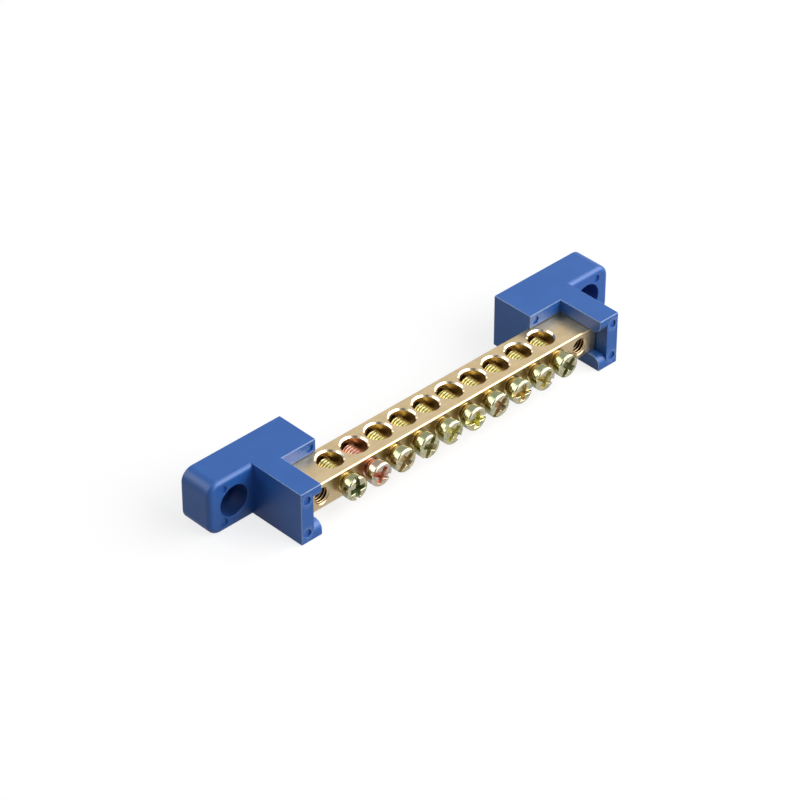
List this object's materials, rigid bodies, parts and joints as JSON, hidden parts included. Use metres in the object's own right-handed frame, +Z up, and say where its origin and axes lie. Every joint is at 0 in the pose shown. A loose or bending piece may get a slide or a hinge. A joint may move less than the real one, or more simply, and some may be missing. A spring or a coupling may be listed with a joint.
{
  "type": "earth terminal bar",
  "caption": "Brass bar with a row of cross-drilled wire holes and clamping screws, carried at both ends by blue insulating brackets that screw to a panel.",
  "frame": {"origin": "centre of the bounding box in plan, on the plane that the brackets stand on in the picture", "axes": "+X along the bar, +Y towards the panel behind it, -Y out of the screw heads, +Z up through the wire holes"},
  "size_m": [0.1106, 0.022, 0.0123],
  "materials": {
    "brass": "satin drawn bar, bright chamfers",
    "blue_plastic": "moulded, satin gloss, royal blue",
    "yellow_zinc": "bright zinc with a yellow-green passivation",
    "pink_zinc": "bright zinc with a pink passivation"
  },
  "bodies": {
    "bar_assembly": {"brass_bar": "brass", "left_bracket": "blue_plastic", "right_bracket": "blue_plastic"},
    "screw_01": {"clamping_screw_01": "yellow_zinc"},
    "screw_02": {"clamping_screw_02": "pink_zinc"},
    "screw_03": {"clamping_screw_03": "yellow_zinc"},
    "screw_04": {"clamping_screw_04": "yellow_zinc"},
    "screw_05": {"clamping_screw_05": "yellow_zinc"},
    "screw_06": {"clamping_screw_06": "yellow_zinc"},
    "screw_07": {"clamping_screw_07": "yellow_zinc"},
    "screw_08": {"clamping_screw_08": "yellow_zinc"},
    "screw_09": {"clamping_screw_09": "yellow_zinc"},
    "screw_10": {"clamping_screw_10": "yellow_zinc"}
  },
  "joints": [
    {"name": "screw_01_travel", "type": "slide", "parent": "bar_assembly", "child": "screw_01", "axis": [0, -1, 0], "range_m": [-0.0004, 0.0048]},
    {"name": "screw_02_travel", "type": "slide", "parent": "bar_assembly", "child": "screw_02", "axis": [0, -1, 0], "range_m": [-0.0004, 0.0048]},
    {"name": "screw_03_travel", "type": "slide", "parent": "bar_assembly", "child": "screw_03", "axis": [0, -1, 0], "range_m": [-0.0004, 0.0048]},
    {"name": "screw_04_travel", "type": "slide", "parent": "bar_assembly", "child": "screw_04", "axis": [0, -1, 0], "range_m": [-0.0004, 0.0048]},
    {"name": "screw_05_travel", "type": "slide", "parent": "bar_assembly", "child": "screw_05", "axis": [0, -1, 0], "range_m": [-0.0004, 0.0048]},
    {"name": "screw_06_travel", "type": "slide", "parent": "bar_assembly", "child": "screw_06", "axis": [0, -1, 0], "range_m": [-0.0004, 0.0048]},
    {"name": "screw_07_travel", "type": "slide", "parent": "bar_assembly", "child": "screw_07", "axis": [0, -1, 0], "range_m": [-0.0004, 0.0048]},
    {"name": "screw_08_travel", "type": "slide", "parent": "bar_assembly", "child": "screw_08", "axis": [0, -1, 0], "range_m": [-0.0004, 0.0048]},
    {"name": "screw_09_travel", "type": "slide", "parent": "bar_assembly", "child": "screw_09", "axis": [0, -1, 0], "range_m": [-0.0004, 0.0048]},
    {"name": "screw_10_travel", "type": "slide", "parent": "bar_assembly", "child": "screw_10", "axis": [0, -1, 0], "range_m": [-0.0004, 0.0048]}
  ]
}
